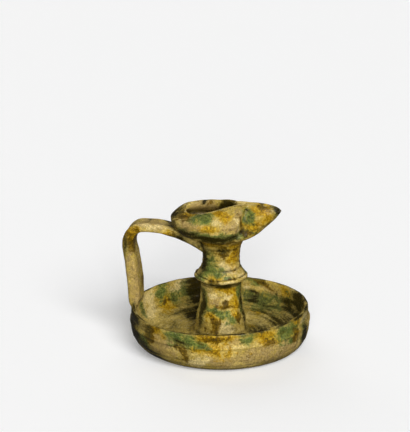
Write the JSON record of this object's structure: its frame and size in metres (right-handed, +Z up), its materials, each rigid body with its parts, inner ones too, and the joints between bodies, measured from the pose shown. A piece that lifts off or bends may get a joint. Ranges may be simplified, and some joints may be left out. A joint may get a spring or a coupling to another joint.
{
  "type": "glazed oil lamp",
  "caption": "Earthenware pedestal oil lamp with a wide drip dish, flared stem with a collar, open pinched-spout reservoir and strap handle, under splashed green and amber glaze.",
  "frame": {"origin": "centre of the flat underside, on the stem's axis, where the lamp stands", "axes": "+Z up along the stem, +X towards the spout, -X towards the handle"},
  "size_m": [0.1472, 0.1417, 0.1157],
  "materials": {
    "splashed_glaze": "aged semi-gloss lead glaze splashed green, amber and cream over buff clay"
  },
  "bodies": {
    "root": {"oil_lamp": "splashed_glaze"}
  },
  "joints": []
}
